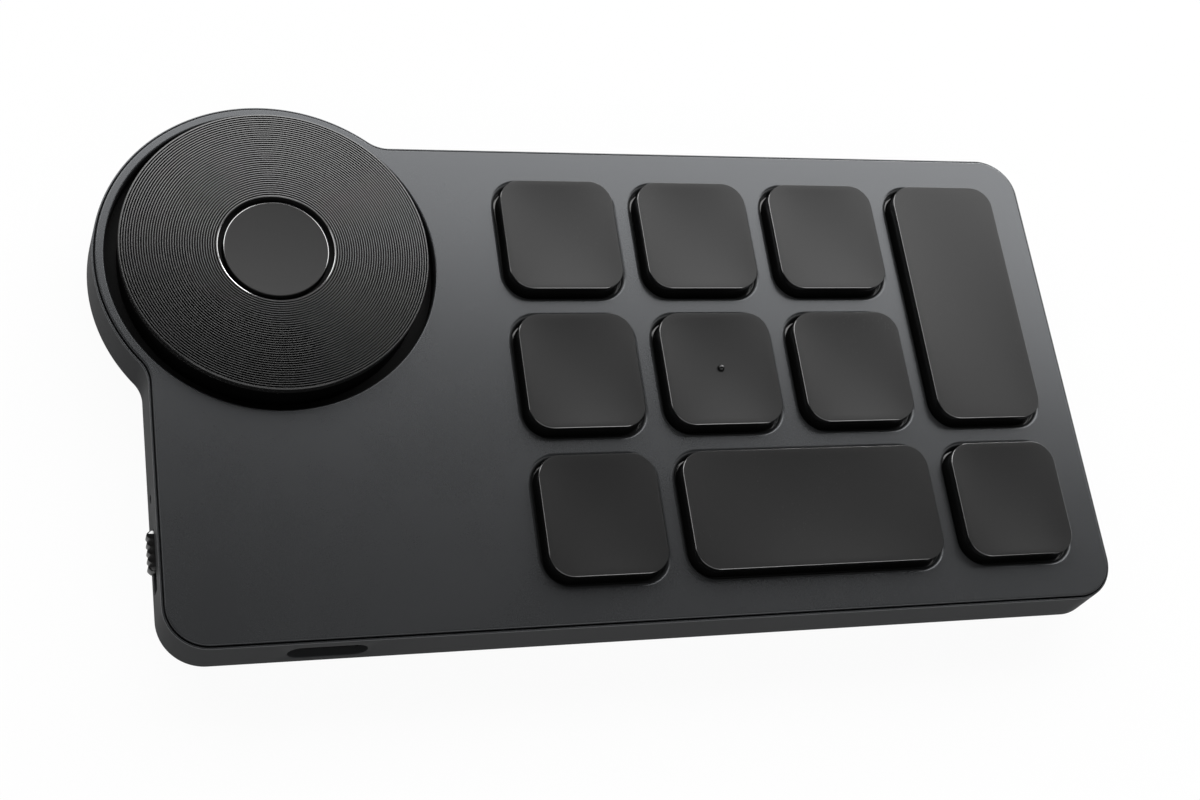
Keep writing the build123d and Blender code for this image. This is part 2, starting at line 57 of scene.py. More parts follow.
def arcPath(centre, radius, start, stop, count, outward=1):
    # centre + radius * (cos a, sin a), with a running from start to stop degrees
    angle = np.radians(np.linspace(start, stop, count))
    ray = np.stack([np.cos(angle), np.sin(angle)], 1)
    return np.array(centre) + radius * ray, outward * ray


def joinArcs(arcs, step):
    # arcs one after another; the straight runs between them are divided into pieces up to step long
    points, normals = (np.concatenate(part) for part in zip(*arcs))
    run = np.roll(points, -1, 0) - points
    turn = np.roll(normals, -1, 0) - normals
    count = np.maximum(1, np.ceil(np.linalg.norm(run, axis=1) / step - tiny)).astype(int)
    index = np.repeat(np.arange(len(points)), count)
    part = (np.arange(count.sum()) - np.repeat(np.cumsum(count) - count, count)) / count[index]
    return points[index] + part[:, None] * run[index], normals[index] + part[:, None] * turn[index]


def boxPath(centre, size, radius, count, step):
    # a rectangle whose four corners are quarter circles
    corners = [(-1, -1, 180), (1, -1, 270), (1, 1, 0), (-1, 1, 90)]
    reach = np.array(size) / 2 - radius
    arcs = [arcPath(centre + reach * (sx, sy), radius, a, a + 90, count) for sx, sy, a in corners]
    return joinArcs(arcs, step)


def ringPath(centre, radius, count):
    # a full circle, without the last point that repeats the first
    points, normals = arcPath(centre, radius, 0, 360, count + 1)
    return points[:-1], normals[:-1]


def softCorners(corners, radii, count):
    # an open polyline whose inner corners are rounded: points on the chord between the two tangent
    # points are pushed out to the circle that touches both runs
    corners = np.array(corners, float)
    rounded = [corners[:1]]
    for before, here, after, radius in zip(corners, corners[1:], corners[2:], radii):
        back = (before - here) / np.linalg.norm(before - here)
        ahead = (after - here) / np.linalg.norm(after - here)
        half = np.arccos(np.clip(back @ ahead, -1, 1)) / 2
        middle = here + (back + ahead) / np.linalg.norm(back + ahead) * radius / np.sin(half)
        swing = np.linspace(0, 1, count)[:, None]
        start, stop = (here + way * radius / np.tan(half) for way in (back, ahead))
        ray = (1 - swing) * start + swing * stop - middle
        rounded.append(middle + radius * ray / np.linalg.norm(ray, axis=1)[:, None])
    return np.concatenate(rounded + [corners[-1:]])


# Surfaces: arrays of points in mm, faces that index them, and the faces' material

def sweep(path, profile):
    # every (grow, height) of the profile is one ring: path + grow * normal, at that height
    points, normals = path
    profile = np.array(profile)
    plan = points[None] + profile[:, 0, None, None] * normals[None]
    height = np.broadcast_to(profile[:, 1, None, None], plan.shape[:2] + (1,))
    return np.concatenate([plan, height], 2)


def turned(centre, profile, count):
    # every (radius, height) of the profile is one circle about the vertical line through centre
    angle = np.linspace(0, 2 * np.pi, count, endpoint=False)
    ray = np.stack([np.cos(angle), np.sin(angle)], 1)
    return sweep((np.array(centre) + 0 * ray, ray), profile)


def ringFaces(rings):
    # quads between neighbouring rings, with the last column joined to the first
    rows, columns = rings.shape[:2]
    row = np.arange(rows - 1)[:, None] * columns
    here = np.arange(columns)[None]
    after = (here + 1) % columns
    corners = [row + here, row + after, row + columns + after, row + columns + here]
    return np.stack(corners, -1).reshape(-1, 4)


def strip(rings, material=main, flip=False):        # rings joined in their order
    faces = ringFaces(rings)
    return rings.reshape(-1, 3), faces[:, ::-1] if flip else faces, material


def fan(ring, apex, material=main, flip=False):
    # triangles from each edge of a ring to one point
    index = np.arange(len(ring))
    faces = np.stack([index, np.roll(index, -1), np.full(len(ring), len(ring))], 1)
    return np.concatenate([ring, [apex]]), faces[:, ::-1] if flip else faces, material


def within(loop, spots):
    # even-odd rule: a spot is inside when a ray along +x crosses the loop an odd number of times
    here, after = loop, np.roll(loop, -1, 0)
    x, y = spots[:, 0, None], spots[:, 1, None]
    across = (here[:, 1] > y) != (after[:, 1] > y)
    rise = np.where(here[:, 1] == after[:, 1], 1, after[:, 1] - here[:, 1])
    meet = here[:, 0] + (y - here[:, 1]) * (after[:, 0] - here[:, 0]) / rise
    return (across & (x < meet)).sum(1) % 2 == 1


def netBetween(outer, holes):
    # constrained Delaunay net of the flat region inside outer and outside every hole
    loops = [outer] + holes
    first = np.cumsum([0] + [len(loop) for loop in loops])
    order = [np.arange(len(loop)) for loop in loops]
    edges = [start + np.stack([index, np.roll(index, -1)], 1) for start, index in zip(first, order)]
    net = delaunay_2d_cdt(np.concatenate(loops).tolist(), np.concatenate(edges).tolist(), [], 0, tiny)
    spots, faces = np.array(net[0]), np.array(net[2])
    middle = spots[faces].mean(1)
    keep = within(outer, middle)
    for hole in holes:
        keep &= ~within(hole, middle)
    return spots, faces[keep]


def sheet(outer, holes, height, material=main, flip=False):
    # the net of such a region, laid flat at one height
    spots, faces = netBetween(outer, holes)
    verts = np.concatenate([spots, np.full((len(spots), 1), height)], 1)
    return verts, faces[:, ::-1] if flip else faces, material


def makePiece(name, parts, finishes, body, stands=(), sharp=40):
    # parts are joined where they meet, turned outwards and shaded smooth between sharp edges
    first = np.cumsum([0] + [len(part[0]) for part in parts])
    faces = [face for start, part in zip(first, parts) for face in (part[1] + start).tolist()]
    index = np.concatenate([np.broadcast_to(part[2], len(part[1])) for part in parts])
    mesh = bpy.data.meshes.new(name)
    mesh.from_pydata((np.concatenate([part[0] for part in parts]) * mm).tolist(), [], faces)
    mesh.polygons.foreach_set("material_index", index.astype(np.int32))
    for finish in finishes:
        mesh.materials.append(finish)
    net = bmesh.new()
    net.from_mesh(mesh)
    bmesh.ops.remove_doubles(net, verts=net.verts, dist=weld)
    bmesh.ops.recalc_face_normals(net, faces=net.faces)
    net.to_mesh(mesh)
    net.free()
    mesh.shade_smooth()
    mesh.set_sharp_from_angle(angle=np.radians(sharp))
    piece = bpy.data.objects.new(name, mesh)
    bpy.context.scene.collection.objects.link(piece)
    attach(piece, body)
    if stands:
        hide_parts(*stands)


# Finishes

class Value:                                        # a socket whose sums and products add Math nodes
    def __init__(self, finish, socket):
        self.finish, self.socket = finish, socket

    def maths(self, operation, first, second):
        return self.finish.node("ShaderNodeMath", {0: first, 1: second}, operation=operation)

    def __add__(self, other):
        return self.maths("ADD", self, other)

    def __mul__(self, other):
        return self.maths("MULTIPLY", self, other)

    __radd__, __rmul__ = __add__, __mul__


class Finish:                                       # nodes of one material or of the world
    def __init__(self, name, kind=bpy.data.materials):
        self.owner = kind.new(name)
        self.owner.use_nodes = True
        self.tree = self.owner.node_tree
        self.tree.nodes.clear()

    def node(self, kind, inputs, out=0, **settings):
        made = self.tree.nodes.new(kind)
        for field, setting in settings.items():
            setattr(made, field, setting)
        for socket, given in inputs.items():
            if isinstance(given, Value):
                self.tree.links.new(given.socket, made.inputs[socket])
            else:
                made.inputs[socket].default_value = given
        return Value(self, made.outputs[out]) if made.outputs else made

    def noise(self, scale, detail, rough=0.55):     # on Object coordinates, scale in cells per metre
        place = self.node("ShaderNodeTexCoord", {}, out="Object")
        inputs = {"Vector": place, "Scale": scale, "Detail": detail, "Roughness": rough}
        return self.node("ShaderNodeTexNoise", inputs)

    def blend(self, factor, first, second):         # sockets 6, 7 and 2 are the Mix node's colours
        inputs = {0: factor, 6: (*first, 1), 7: (*second, 1)}
        return self.node("ShaderNodeMix", inputs, out=2, data_type="RGBA")

    def bump(self, height, strength, dent):         # dent in mm
        inputs = {"Height": height, "Strength": strength, "Distance": dent * mm}
        return self.node("ShaderNodeBump", inputs)

    def ray(self, kind):                            # 1 for rays of that kind, 0 for others
        return self.node("ShaderNodeLightPath", {}, out=f"Is {kind} Ray")

    def surface(self, shader, output="ShaderNodeOutputMaterial"):
        self.node(output, {"Surface": shader})
        return self.owner

    def principled(self, inputs):
        return self.surface(self.node("ShaderNodeBsdfPrincipled", inputs))


paint = {
    "cloud": 60, "cloudDetail": 4, "grainDetail": 2,
    "dark": 0.86, "light": 1.14,                    # range of the colour, times the grey
    "cloudShare": 0.65, "grainShare": 0.35,         # what the colour follows
    "roughSpan": 0.04,                              # how far the clouds and the grain move the gloss
    "bump": 0.6, "coatRough": 0.06,
}
polish = {
    "swirl": 220, "swirlDetail": 5, "swirlSpan": 0.06,
    "ripple": 900, "rippleDetail": 2, "bump": 0.25,
}


def grained(name, grey, rough, metal=0.0, shine=0.5, grain=4000, dent=0.004, tint=(1, 1, 1), coat=0.0):
    # paint or moulded plastic: a fine grain in the bump, slow clouds in the colour and the gloss
    made = Finish(name)
    sheen = np.array(tint) / max(tint)
    fine = made.noise(grain, paint["grainDetail"])
    slow = made.noise(paint["cloud"], paint["cloudDetail"])
    dark, light = (np.array(tint) * grey * paint[end] for end in ("dark", "light"))
    shade = paint["cloudShare"] * slow + paint["grainShare"] * fine
    span = paint["roughSpan"]
    return made.principled({
        "Base Color": made.blend(shade, dark, light),
        "Roughness": rough - span + span * slow + span * fine,
        "Metallic": metal,
        "Specular IOR Level": shine,
        "Specular Tint": (*sheen, 1),
        "Coat Weight": coat,
        "Coat Roughness": paint["coatRough"],
        "Normal": made.bump(fine, paint["bump"], dent),
    })


def polished(name, dark, light, rough, dent):
    # polished moulding: faint swirls in the gloss, almost none in the colour
    made = Finish(name)
    swirl = made.noise(polish["swirl"], polish["swirlDetail"])
    ripple = made.noise(polish["ripple"], polish["rippleDetail"])
    return made.principled({
        "Base Color": made.blend(swirl, [dark] * 3, [light] * 3),
        "Roughness": rough + polish["swirlSpan"] * swirl,
        "Normal": made.bump(ripple, polish["bump"], dent),
    })


slate = (0.95, 0.98, 1.02)
satin = {"grey": 0.026, "rough": 0.24, "metal": 0.25, "shine": 0.8, "grain": 9000, "dent": 0.0006}
plateFinish = grained("plateSatin", tint=slate, **satin)
rimFinish = grained("rimSatin", tint=slate, coat=0.7, **satin)
caseFinish = grained("caseSatin", grey=0.031, rough=0.55, shine=0.04, dent=0.0015, tint=slate)
keyFinish = grained("keyMatte", grey=0.013, rough=0.26, shine=0.24, grain=5200, dent=0.002)
ringFinish = grained("dialSatin", grey=0.020, rough=0.18, metal=0.05, shine=1.0, grain=5200, dent=0.001)
# near black: the dial wheel's own black, and painted shade on the walls and floors of the dial's grooves
blackAndGrooveShadeFinish = grained("blackAndGrooveShade", grey=0.002, rough=0.60, shine=0.05, grain=5200)
# brighter metallic colour on the keys' cut top edge: a painted highlight line, still lit by the lamps
keyGlintEdgeFinish = grained("keyPaintedGlintEdge", grey=0.14, rough=0.20, metal=0.9, grain=5200, dent=0.001)
buttonFinish = grained("buttonSatin", grey=0.012, rough=0.26, shine=0.25, grain=5200, dent=0.002)
# brighter metallic colour on the bore's lip, the button's edge and the slider's end cuts: painted glints,
# still lit by the lamps
glintEdgeFinish = grained("paintedGlintEdge", grey=0.22, rough=0.16, metal=0.9, grain=5200, dent=0.001)
glossFinish = polished("glossBlack", dark=0.003, light=0.006, rough=0.07, dent=0.002)
gripFinish = grained("gripSatin", grey=0.010, rough=0.30, shine=0.12, grain=5200, dent=0.002)
wellFinish = grained("wellBlack", grey=0.004, rough=0.55, shine=0.1, grain=2500)
trayFinish = grained("trayMatte", grey=0.030, rough=0.52, grain=2600, dent=0.008, tint=slate)
rubberFinish = grained("footRubber", grey=0.014, rough=0.75, grain=1500, dent=0.02)
steelFinish = grained("shieldSteel", grey=0.36, rough=0.32, metal=1.0, grain=1800)
portFinish = grained("portSteel", grey=0.06, rough=0.30, metal=0.8, grain=1800)
print("finishes ready")


# Plate, with the outlines that other pieces share

plate = {
    "lobeOutLeft": 5.25, "lobeOutBack": 5.05,       # how far the lobe stands out of the two edges
    "corner": 4.5, "waist": 4.3,
    "cornerSteps": 25, "waistSteps": 17, "lobeSteps": 121, "run": 3.0,
    "edge": 0.14, "edgeSteps": 7,
    "openingRound": 0.52, "wellRound": 0.22, "roundSteps": 9, "wellSteps": 240,
    "guard": 0.06,                                  # flat strip beside a rounding, for even shading
    "plainRows": 3,                                 # rows of an opening's rim painted as the flat
    "keyGap": 0.3, "wellGap": 1.25,
}
key = {
    "count": 10,
    "flange": 0.6, "flangeThick": 0.7, "flangePlay": 0.1,
    "wall": 1.2, "roof": 1.4, "wallSoft": [0.05, 0.1, 0.1, 0.05], "softSteps": 4,
    "stem": 4.0, "stemCorner": 0.2, "stemSteps": 3,
    "corner": 2.75, "cornerSteps": 15, "run": 2.0,
    "taper": 0.06, "rise": 1.65, "dish": 0.15, "dishRings": 14, "land": 0.3,
    "edge": 0.055, "edgeDrop": 0.04,                # thin cut edge round the top, 36 degrees, in a brighter metallic colour than the key: a painted highlight line that still follows the lamps
    "dotKey": 6, "dotRadius": 0.45, "dotSink": 0.05, "dotRings": 9, "dotSteps": 32,
    "sharp": 20,
}
plateLow, plateHigh = nodeBox("top_plate")
dialLow, dialHigh = nodeBox("dial_face")
dialCentre = (dialLow[:2] + dialHigh[:2]) / 2
dialRadius = (dialHigh[0] - dialLow[0]) / 2
lobeRadius = plateHigh[1] - dialCentre[1]
plateLeft = dialCentre[0] - lobeRadius + plate["lobeOutLeft"]
plateBack = plateHigh[1] - plate["lobeOutBack"]
plateRight, plateFront, plateTop, plateUnder = plateHigh[0], plateLow[1], plateHigh[2], plateLow[2]
keyNumbers = range(1, key["count"] + 1)


def remotePath():
    # rounded rectangle and lobe circle joined by two hollow arcs that touch both at a tangent
    corner, waist, hub = plate["corner"], plate["waist"], dialCentre
    reach = lobeRadius + waist
    left = np.array([plateLeft - waist, hub[1] - np.sqrt(reach ** 2 - (hub[0] - plateLeft + waist) ** 2)])
    back = np.array([hub[0] + np.sqrt(reach ** 2 - (plateBack + waist - hub[1]) ** 2), plateBack + waist])
    leftAngle = np.degrees(np.arctan2(*(hub - left)[::-1]))
    backAngle = np.degrees(np.arctan2(*(hub - back)[::-1])) % 360
    cornerSteps, waistSteps = plate["cornerSteps"], plate["waistSteps"]
    return joinArcs([
        arcPath((plateRight - corner, plateFront + corner), corner, 270, 360, cornerSteps),
        arcPath((plateRight - corner, plateBack - corner), corner, 0, 90, cornerSteps),
        arcPath(back, waist, 270, backAngle, waistSteps, -1),
        arcPath(hub, lobeRadius, backAngle - 180, leftAngle + 180, plate["lobeSteps"]),
        arcPath(left, waist, leftAngle, 0, waistSteps, -1),
        arcPath((plateLeft + corner, plateFront + corner), corner, 180, 270, cornerSteps),
    ], plate["run"])


def keyPath(number, grow):
    # rounded rectangle inside the key's flange, grown by grow mm all round
    low, high = nodeBox(f"key_{number}")
    size = high[:2] - low[:2] - 2 * key["flange"] + 2 * grow
    centre = (low[:2] + high[:2]) / 2
    return boxPath(centre, size, key["corner"] + grow, key["cornerSteps"], key["run"])


def rimProfile(radius):
    # quarter circle from the flat top down into an opening, then straight to the plate's underside
    turn = np.linspace(0, np.pi / 2, plate["roundSteps"])
    curve = np.stack([radius * (1 - np.sin(turn)), plateTop - radius * (1 - np.cos(turn))], 1)
    return np.concatenate([[[radius + plate["guard"], plateTop]], curve, [[0, plateUnder]]])


outline = remotePath()


def makePlate():
    # the outline carries a rounded edge, each opening a rounded rim, and two flat nets close it
    edge = plate["edge"]
    rim = [(0, plateUnder), (0, plateTop), (-edge - plate["guard"], plateTop)]
    skirt = sweep(outline, softCorners(rim, [edge], plate["edgeSteps"]))
    keyRim = rimProfile(plate["openingRound"])
    holes = [sweep(keyPath(number, plate["keyGap"]), keyRim) for number in keyNumbers]
    bore = ringPath(dialCentre, dialRadius + plate["wellGap"], plate["wellSteps"])
    holes.append(sweep(bore, rimProfile(plate["wellRound"])))
    shiny = np.arange(len(keyRim) - 1) >= plate["plainRows"]
    parts = [strip(skirt)]
    parts += [strip(hole, np.repeat(shiny, hole.shape[1])) for hole in holes[:-1]]
    parts.append(strip(holes[-1]))
    parts.append(sheet(skirt[-1, :, :2], [hole[0, :, :2] for hole in holes], plateTop))
    parts.append(sheet(skirt[0, :, :2], [hole[-1, :, :2] for hole in holes], plateUnder, flip=True))
    finishes = [plateFinish, rimFinish]
    makePiece("plate_panel", parts, finishes, "housing", ["top_plate"])


makePlate()
print("plate ready")


# Side wall with its three openings

case = {
    "foot": 0.62, "rimReach": 0.35, "gap": 0.15, "inner": -0.8,     # measured out from the plate's outline
    "soft": 0.10, "bottomShare": 0.7, "rimSoft": 0.06, "seatSoft": 0.001, "softSteps": 5,
    "crestRows": 6,                                 # from the wall over the rim's top to its inner corner
    "slotEdge": 0.10, "edgeSteps": 5, "run": 1.0,
    "slot": (8.5, 2.9), "slotSteps": 17,
    "slotShy": 0.001,                               # keeps the slot's ends just short of half circles
    "thumbFlange": 0.8, "travel": 2.0, "slidePlay": 0.15, "slideCorner": 0.3, "slideSteps": 7,
    "pinRadius": 0.45, "pinSteps": 24,
}
caseLow, caseHigh = nodeBox("upper_case")
portLow, portHigh = nodeBox("usb_shell")
thumbLow, thumbHigh = nodeBox("power_slider")
pipeLow, pipeHigh = nodeBox("light_pipe")


def makeCase():
    # a flat net of (distance along the outline, height) with three holes, bent round the outline
    foot, top, inner = caseLow[2], caseHigh[2], case["inner"]
    points = outline[0]
    run = np.roll(points, -1, 0) - points
    stretch = np.linalg.norm(run, axis=1)
    length = np.concatenate([[0], np.cumsum(stretch)])
    x, y, outX, outY = (np.append(part[:, axis], part[0, axis]) for part in outline for axis in (0, 1))

    def wall(spots, deep=None):
        # points of the flared wall, deep mm under its skin, or of its inner face if no depth is given
        at = [np.interp(spots[:, 0], length, values) for values in (x, y, outX, outY)]
        grow = inner
        if deep is not None:
            grow = np.interp(spots[:, 1], [foot, top], [case["foot"], case["rimReach"]]) - deep
        return np.stack([at[0] + grow * at[2], at[1] + grow * at[3], spots[:, 1]], 1)

    def along(spot):                                # distance along the outline to its point next to spot
        share = np.clip(((spot - points) * run).sum(1) / (run ** 2).sum(1), 0, 1)
        off = np.linalg.norm(points + share[:, None] * run - spot, axis=1)
        return (length[:-1] + share * stretch)[off.argmin()]

    def level(height):                              # a line along the outline at one height
        return np.stack([length, np.full(len(length), height)], 1)

    boxes = ((portLow, portHigh), (thumbLow, thumbHigh), (pipeLow, pipeHigh))
    portAt, thumbAt, pipeAt = ((low + high) / 2 for low, high in boxes)
    thumb = thumbHigh[1:] - thumbLow[1:] - 2 * case["thumbFlange"] + 2 * case["slidePlay"]
    port = np.array([along(np.array([portAt[0], plateFront])), portAt[2]])
    slide = np.array([along(np.array([plateLeft, thumbAt[1] - case["travel"] / 2])), thumbAt[2]])
    pin = np.array([along(np.array([plateLeft, pipeAt[1]])), pipeAt[2]])
    slotRadius = case["slot"][1] / 2 - case["slotShy"]
    openings = [
        boxPath(port, case["slot"], slotRadius, case["slotSteps"], case["run"]),
        boxPath(slide, thumb + (case["travel"], 0), case["slideCorner"], case["slideSteps"], case["run"]),
        ringPath(pin, case["pinRadius"], case["pinSteps"]),
    ]
    edge, soft = case["slotEdge"], case["soft"]
    turn = np.linspace(0, np.pi / 2, case["edgeSteps"])
    rims = [[loop + out * edge * (1 - np.sin(angle)) for angle in turn] for loop, out in openings]
    border = np.concatenate([level(foot + soft), level(top - soft)[::-1]])
    spots, faces = netBetween(border, [rim[0] for rim in rims])
    parts = [(wall(spots, 0.0), faces, main)]
    for rim in rims:                                # rounded edge of each opening, then through the wall
        depth = edge * (1 - np.cos(turn))
        rings = [wall(loop, deep) for loop, deep in zip(rim, depth)] + [wall(rim[-1])]
        parts.append(strip(np.stack(rings)))
    border = np.concatenate([level(foot), level(plateUnder)[::-1]])
    spots, faces = netBetween(border, [rim[-1] for rim in rims])
    parts.append((wall(spots), faces[:, ::-1], main))
    slope = (case["foot"] - case["rimReach"]) / (top - foot)
    footGrow, topGrow = case["foot"] - soft * slope, case["rimReach"] + soft * slope
    bottom = [(inner, foot), (case["foot"], foot), (footGrow, foot + soft)]
    bottom = softCorners(bottom, [soft * case["bottomShare"]], case["softSteps"])
    rim = [(topGrow, top - soft), (case["rimReach"], top), (case["gap"], top), (case["gap"], plateUnder),
           (inner, plateUnder)]
    rim = softCorners(rim, [case["rimSoft"], case["rimSoft"], case["seatSoft"]], case["softSteps"])
    crest = np.arange(len(rim) - 1) < case["crestRows"]
    parts += [strip(sweep(outline, bottom)), strip(sweep(outline, rim), np.repeat(crest, len(points)))]
    finishes = [caseFinish, plateFinish]
    makePiece("case_wall", parts, finishes, "housing", ["upper_case"])


makeCase()
print("case ready")


# Rear tray and feet

tray = {"inset": 1.9, "flat": 1.0, "edge": 0.1, "soft": [0.5, 0.04, 0.03], "softSteps": 7}
feet = {
    "depth": 5.0, "corner": 1.5, "cornerSteps": 9, "run": 4.0,
    "play": 0.05, "sink": 0.4,                      # room round a strip, and how deep the tray takes it in
    "flat": 1, "soft": [0.35, 0.05], "softSteps": 7,
}
footLow, footHigh = nodeBox("rubber_feet")


def footPath(end, grow):
    # rounded rectangle of the front (-1) or the back (1) strip, grown by grow mm all round
    y = footLow[1] + feet["depth"] / 2 if end < 0 else footHigh[1] - feet["depth"] / 2
    size = (footHigh[0] - footLow[0] + 2 * grow, feet["depth"] + 2 * grow)
    centre = np.array([(footLow[0] + footHigh[0]) / 2, y])
    return boxPath(centre, size, feet["corner"] + grow, feet["cornerSteps"], feet["run"])


def makeTray():
    # the outline carries the sloped side, and flat nets close the underside, the two sinks and the top
    foot, top = nodeBox("rear_cover")[0][2], caseLow[2]
    reach, roof = case["foot"] - tray["inset"], foot + feet["sink"]
    side = [(reach - tray["flat"], foot), (reach, foot), (case["foot"], top - tray["edge"]),
            (case["foot"], top), (case["inner"], top)]
    skin = sweep(outline, softCorners(side, tray["soft"], tray["softSteps"]))
    sinks = [sweep(footPath(end, feet["play"]), [(0, foot), (0, roof)]) for end in (-1, 1)]
    parts = [strip(skin)] + [strip(sink, flip=True) for sink in sinks]
    parts.append(sheet(skin[0, :, :2], [sink[0, :, :2] for sink in sinks], foot, flip=True))
    parts += [sheet(sink[1, :, :2], [], roof, flip=True) for sink in sinks]
    parts.append(sheet(skin[-1, :, :2], [], top))
    makePiece("rear_tray", parts, [trayFinish], "housing", ["rear_cover"])


def makeFeet():
    # each strip's outline carries a rounded side, closed by a flat net below and above
    under, top, flat = footLow[2], footHigh[2], feet["flat"]
    side = [(-flat, under), (0, under), (0, top), (-flat, top)]
    side = softCorners(side, feet["soft"], feet["softSteps"])
    parts = []
    for end in (-1, 1):
        rings = sweep(footPath(end, 0), side)
        parts.append(strip(rings))
        parts.append(sheet(rings[0, :, :2], [], under, flip=True))
        parts.append(sheet(rings[-1, :, :2], [], top))
    makePiece("foot_strips", parts, [rubberFinish], "housing", ["rubber_feet"])


makeTray()
makeFeet()
print("tray and feet ready")


# Keys

def makeDot(centre, base, tip):
    # half-ball: radius * cos a across and (tip - base) * sin a up, closed below by a flat net
    angle = np.linspace(0, np.pi / 2, key["dotRings"])[:-1]
    profile = np.stack([key["dotRadius"] * np.cos(angle), base + (tip - base) * np.sin(angle)], 1)
    ball = turned(centre, profile, key["dotSteps"])
    under = sheet(ball[0, :, :2], [], base, second, flip=True)
    return [strip(ball, second), fan(ball[-1], [*centre, tip], second), under]


def makeKey(number):
    low, high = nodeBox(f"key_{number}")
    centre, top = (low[:2] + high[:2]) / 2, plateTop + key["rise"]
    flangeTop, roof = plateUnder - key["flangePlay"], top - key["roof"]
    flangeUnder = flangeTop - key["flangeThick"]
    path = keyPath(number, 0)
    # from the hollow's roof down its wall, round the flange and up the outside to the cut edge
    wall = [(-key["wall"], roof), (-key["wall"], flangeUnder), (key["flange"], flangeUnder),
            (key["flange"], flangeTop), (0, flangeTop), (-key["taper"], top - key["edgeDrop"])]
    wall = softCorners(wall, key["wallSoft"], key["softSteps"])
    brim = (-key["taper"] - key["edge"], top)
    rows = (wall, [wall[-1], brim], [brim, (-key["land"], top)])
    side, cut, land = (sweep(path, profile) for profile in rows)
    # the top shrinks ring by ring to its middle, sunk by dish * (1 - u^2) * (1 - v^2) across and along
    plan = centre + np.linspace(1, 0, key["dishRings"])[:-1, None, None] * (land[-1, :, :2] - centre)
    span = np.abs(land[-1, :, :2] - centre).max(0)
    sunk = key["dish"] * (1 - ((plan - centre) / span) ** 2).prod(2, keepdims=True)
    sunk[0] = 0                                     # the brim of the bowl stays level with the land
    crown = np.concatenate([plan, top - sunk], 2)
    # the cut edge takes the third finish, a painted highlight along the key's top edge
    parts = [strip(side, second), strip(cut, third), strip(land), strip(crown)]
    parts.append(fan(crown[-1], [*centre, top - key["dish"]]))
    # one square stem under the middle, and one near each end of a long key
    oneLow, oneHigh = nodeBox("key_1")
    reach = (high - low - oneHigh + oneLow)[:2] / 2
    shifts = (0, 1, -1) if reach.max() > key["stem"] else (0,)
    square = (key["stem"], key["stem"])
    bases = [boxPath(centre + shift * reach, square, key["stemCorner"], key["stemSteps"], key["stem"])
             for shift in shifts]
    stems = [sweep(base, [(0, low[2]), (0, roof)]) for base in bases]
    parts.append(sheet(side[0, :, :2], [stem[1, :, :2] for stem in stems], roof, second, flip=True))
    for stem in stems:
        parts += [strip(stem, second), sheet(stem[0, :, :2], [], low[2], second, flip=True)]
    if number == key["dotKey"]:
        parts += makeDot(centre, top - key["dish"] - key["dotSink"], high[2])
    name, finishes = f"key_{number}", [keyFinish, glossFinish, keyGlintEdgeFinish]
    makePiece(f"{name}_cap", parts, finishes, name, [name], sharp=key["sharp"])


for number in keyNumbers:
    makeKey(number)
print("keys ready")


# Dial, its well and the centre button

dial = {
    "grooves": 38, "grooveDepth": 0.15, "land": 0.37, "lean": 0.08, "edge": 0.08, "bore": 6.45,
    "brink": 0.09, "brinkDrop": 0.052,              # cut edge round the bore, 30 degrees, in a brighter metallic colour: a painted glint line that still follows the lamps
    "around": 288, "sharp": 20,
    "wheelBore": 8.6, "wheelSoft": [0.05, 0.3, 0.05], "softSteps": 6,
}
button = {
    "edge": 0.08, "drop": 0.030, "dish": 0.08, "bowlRings": 16, "middle": 0.1,
    "into": 2.0,                                    # how far it reaches down into the frame's collar
    "footFlat": 0.5, "footSoft": 0.2, "softSteps": 7, "around": 144, "sharp": 20,
}
well = {
    "foot": 6.46, "thick": 0.04, "floorThick": 0.03, "around": 192,
    "play": 0.04, "drop": 0.01, "boreGap": 0.6,     # room to the opening, the plate and the bore
}


def makeDial():
    low, top, rim, edge = dialLow[2], dialHigh[2], dialRadius, dial["edge"]
    bore, brink, drop = dial["bore"], dial["brink"], dial["brinkDrop"]
    pitch = (rim - edge - bore - brink) / (dial["grooves"] + dial["land"])
    # each pitch is a flat land, then a groove with leaning walls and a flat floor
    place = np.array([0, dial["land"], dial["land"] + dial["lean"], 1 - dial["lean"]])
    depth = np.array([0, 0, dial["grooveDepth"], dial["grooveDepth"]])
    count = np.arange(dial["grooves"])[:, None]
    radius, height = bore + brink + pitch * (count + place), top - depth + 0 * count
    face = np.stack([radius.ravel(), height.ravel()], 1)
    last = [(rim - edge - pitch * dial["land"], top), (rim - edge, top)]
    under = [(rim, top - edge), (rim, low), (bore, low), (bore, top - drop)]
    rings = turned(dialCentre, np.concatenate([face, last, under]), dial["around"])
    # the lip round the bore takes the brighter metallic second finish, a painted glint line
    lip = turned(dialCentre, [(bore, top - drop), (bore + brink, top)], dial["around"])
    row = np.arange(len(rings) - 1)                 # every fourth row of the grooved part is a land; the other rows, the groove walls and floors, take the near-black third finish as painted shade
    sunk = np.where((row < len(face)) & (row % len(place) > 0), third, main)
    parts = [strip(rings, np.repeat(sunk, dial["around"])), strip(lip, second)]
    finishes = [ringFinish, glintEdgeFinish, blackAndGrooveShadeFinish]
    makePiece("dial_rings", parts, finishes, "dial", ["dial_face"], sharp=dial["sharp"])


def makeWheel():
    # a ring of rectangular section with rounded corners, turned about the dial's middle
    low, high = nodeBox("dial_wheel")
    inner, outer = dial["wheelBore"], (high[0] - low[0]) / 2
    section = [(inner, high[2]), (outer, high[2]), (outer, low[2]), (inner, low[2]), (inner, high[2])]
    rings = turned(dialCentre, softCorners(section, dial["wheelSoft"], dial["softSteps"]), dial["around"])
    makePiece("dial_rim", [strip(rings)], [blackAndGrooveShadeFinish], "dial", ["dial_wheel"])


